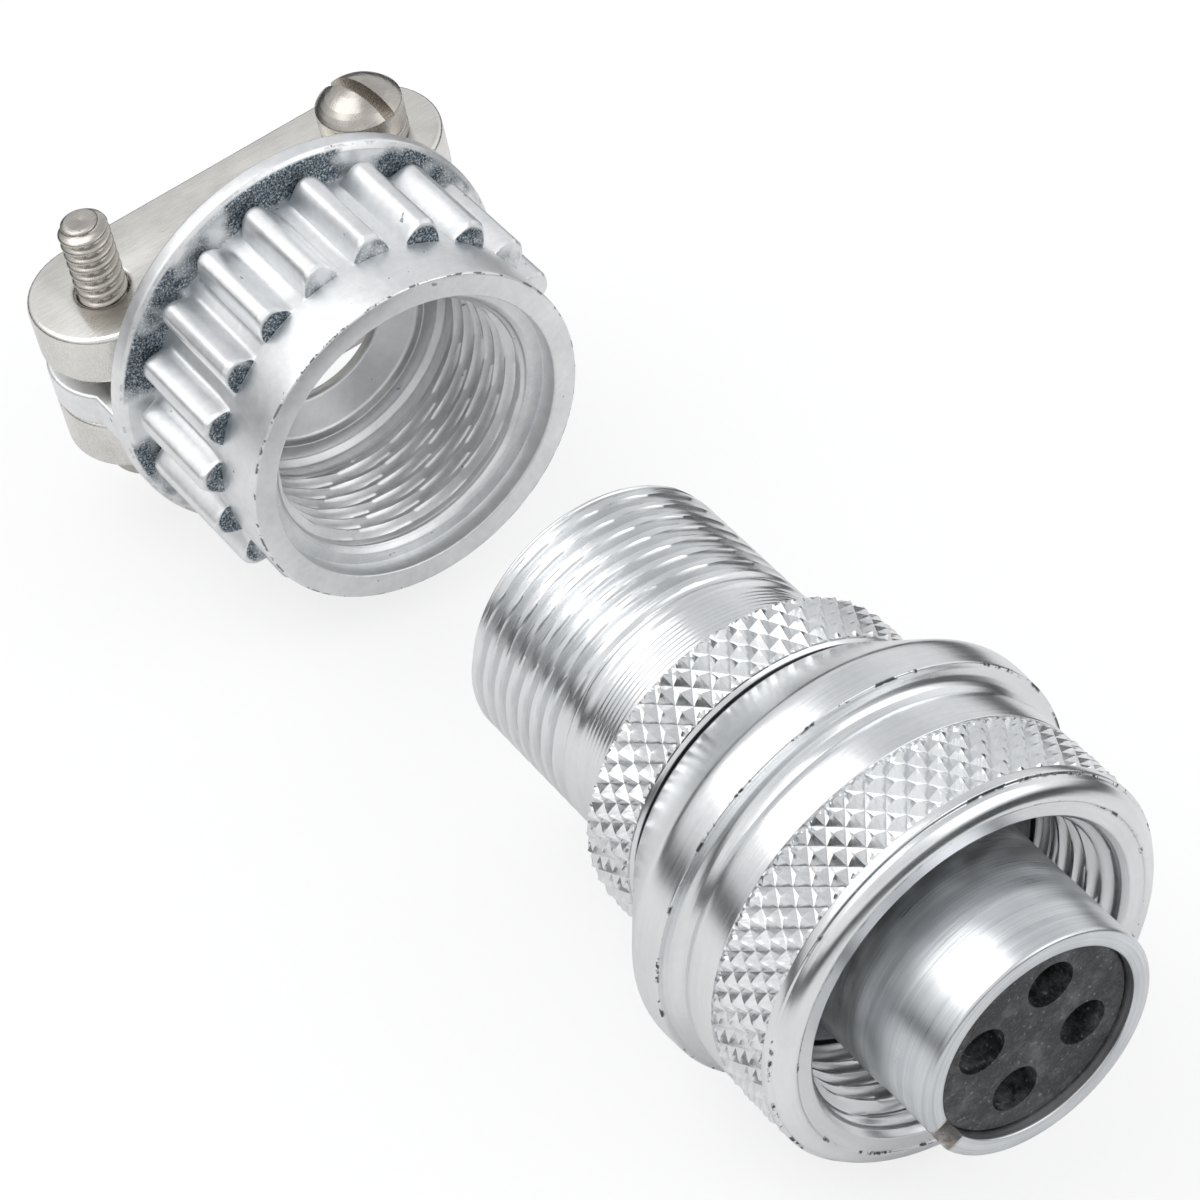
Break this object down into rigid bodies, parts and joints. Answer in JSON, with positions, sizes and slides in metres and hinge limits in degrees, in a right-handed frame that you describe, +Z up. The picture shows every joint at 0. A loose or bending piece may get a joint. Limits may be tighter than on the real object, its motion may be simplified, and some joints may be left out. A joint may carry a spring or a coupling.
{
  "type": "circular connector plug",
  "caption": "Circular cable plug: knurled coupling nut around a keyed barrel with a socket insert, and a ribbed cable clamp with screwed bars, drawn back from the rear thread.",
  "frame": {"origin": "centre of the barrel's rim, on the connector's axis", "axes": "+X along the axis towards the receptacle that the plug mates with, +Z up"},
  "size_m": [0.0908, 0.0333, 0.0298],
  "materials": {
    "plated_shell": "zinc-plated turned aluminium, bright, fine turning lines",
    "plated_nut": "zinc-plated turned aluminium, bright, faint circular brushing, knurled",
    "cast_clamp": "plated die casting, satin white-grey with grainy dark cast faces and chips along edges",
    "nickel_bar": "nickel-plated stamped steel, satin, warm",
    "nickel_screw": "nickel-plated steel screw, satin, warm",
    "spring_steel": "plain spring steel, satin",
    "insert_rubber": "hard synthetic rubber, matt, black-grey and slightly mottled",
    "contact_brass": "machined copper alloy, gold flash"
  },
  "bodies": {
    "plug": {"front_shell": "plated_shell", "rear_shell": "plated_shell", "front_insert": "insert_rubber", "rear_insert": "insert_rubber", "insert_retaining_ring": "spring_steel", "socket_contact_1": "contact_brass", "socket_contact_2": "contact_brass", "socket_contact_3": "contact_brass", "socket_contact_4": "contact_brass", "contact_sleeve_1": "spring_steel", "contact_sleeve_2": "spring_steel", "contact_sleeve_3": "spring_steel", "contact_sleeve_4": "spring_steel"},
    "nut": {"coupling_nut": "plated_nut"},
    "clamp": {"clamp_body": "cast_clamp", "lower_clamp_bar": "nickel_bar"},
    "left_screw": {"left_clamp_screw": "nickel_screw", "left_lock_washer": "spring_steel"},
    "upper_bar": {"upper_clamp_bar": "nickel_bar"},
    "right_screw": {"right_clamp_screw": "nickel_screw", "right_lock_washer": "spring_steel"}
  },
  "joints": [
    {"name": "nut_turn", "type": "hinge", "parent": "plug", "child": "nut", "pos_m": [-0.0228, 0, 0], "axis": [1, 0, 0], "continuous": true},
    {"name": "clamp_travel", "type": "slide", "parent": "plug", "child": "clamp", "axis": [1, 0, 0], "range_m": [0, 0.0323]},
    {"name": "left_screw_turn", "type": "hinge", "parent": "clamp", "child": "left_screw", "pos_m": [-0.0856, -0.0104, -0.00202], "axis": [0, -0.1908, 0.9816], "range_deg": [0, 522]},
    {"name": "upper_bar_travel", "type": "slide", "parent": "clamp", "child": "upper_bar", "axis": [0, 0.1908, -0.9816], "range_m": [0, 0.00115]},
    {"name": "right_screw_turn", "type": "hinge", "parent": "upper_bar", "child": "right_screw", "pos_m": [-0.0856, 0.0104, 0.00202], "axis": [0, 0.1908, -0.9816], "range_deg": [0, 522]}
  ],
  "couplings": [
    {"joint": "left_screw_turn", "follows": "upper_bar_travel", "rad_per_m": 7915.8},
    {"joint": "right_screw_turn", "follows": "upper_bar_travel", "rad_per_m": 7915.8}
  ]
}
